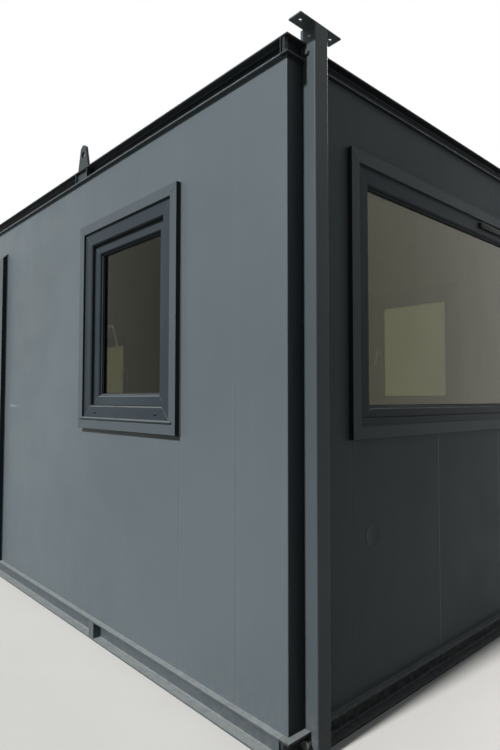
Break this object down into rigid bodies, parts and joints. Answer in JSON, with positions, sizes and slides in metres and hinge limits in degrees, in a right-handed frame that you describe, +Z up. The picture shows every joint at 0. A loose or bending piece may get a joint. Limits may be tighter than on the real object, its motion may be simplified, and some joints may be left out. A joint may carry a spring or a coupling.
{
  "type": "portable site cabin",
  "caption": "Steel portable site cabin with channel base and roof ring, corner jack legs, roof lifting lugs, framed windows and a hinged door in the long side.",
  "frame": {"origin": "on the ground, under the middle of the cabin's overall size", "axes": "+X along the cabin towards the end that the picture shows, -Y out of the long wall with the door, +Z up"},
  "size_m": [7.431, 2.866, 2.7499],
  "materials": {
    "wall_paint": "semi-gloss anthracite paint on flat steel sheet",
    "frame_paint": "semi-gloss anthracite paint on rolled steel",
    "leg_paint": "semi-gloss anthracite paint on steel tube",
    "surround_paint": "satin anthracite paint on folded steel",
    "door_paint": "semi-gloss anthracite paint on steel",
    "roof_paint": "matt grey coated steel",
    "joist_steel": "dull galvanised steel",
    "pin_steel": "dull zinc",
    "hinge_steel": "painted steel",
    "handle_metal": "satin",
    "floor_ply": "matt birch-faced board",
    "lining_board": "white vinyl faced board",
    "window_plastic": "anthracite foil",
    "window_glass": "clear"
  },
  "bodies": {
    "cabin": {"base_rail_front": "frame_paint", "base_rail_back": "frame_paint", "base_rail_end_right": "frame_paint", "base_rail_end_left": "frame_paint", "base_stiffeners": "frame_paint", "floor_joists": "joist_steel", "floor_deck": "floor_ply", "corner_posts": "wall_paint", "front_wall_right": "wall_paint", "front_wall_left": "wall_paint", "front_wall_over_door": "wall_paint", "back_wall": "wall_paint", "end_wall_right": "wall_paint", "end_wall_left": "wall_paint", "roof_rail_front": "frame_paint", "roof_rail_back": "frame_paint", "roof_rail_end_right": "frame_paint", "roof_rail_end_left": "frame_paint", "roof_purlins": "joist_steel", "roof_sheet": "roof_paint", "ceiling_lining": "lining_board", "lifting_lugs": "frame_paint", "jack_leg_front_right": "leg_paint", "jack_leg_front_left": "leg_paint", "jack_leg_back_right": "leg_paint", "jack_leg_back_left": "leg_paint", "leg_pins": "pin_steel", "front_window_surrounds": "surround_paint", "front_window_frames": "window_plastic", "front_window_sashes": "window_plastic", "front_window_glass": "window_glass", "back_window_surrounds": "surround_paint", "back_window_frames": "window_plastic", "back_window_sashes": "window_plastic", "back_window_glass": "window_glass", "end_window_surrounds": "surround_paint", "end_window_frames": "window_plastic", "end_window_glass": "window_glass", "door_surround": "surround_paint", "door_frame": "surround_paint", "door_overpanel": "door_paint", "door_hinge_pins": "hinge_steel"},
    "door": {"door_leaf": "door_paint", "door_handle": "handle_metal", "door_hinge_knuckles": "hinge_steel"}
  },
  "joints": [
    {"name": "door_hinge", "type": "hinge", "parent": "cabin", "child": "door", "pos_m": [-0.118, -1.391, 0], "axis": [0, 0, -1], "range_deg": [0, 110]}
  ]
}
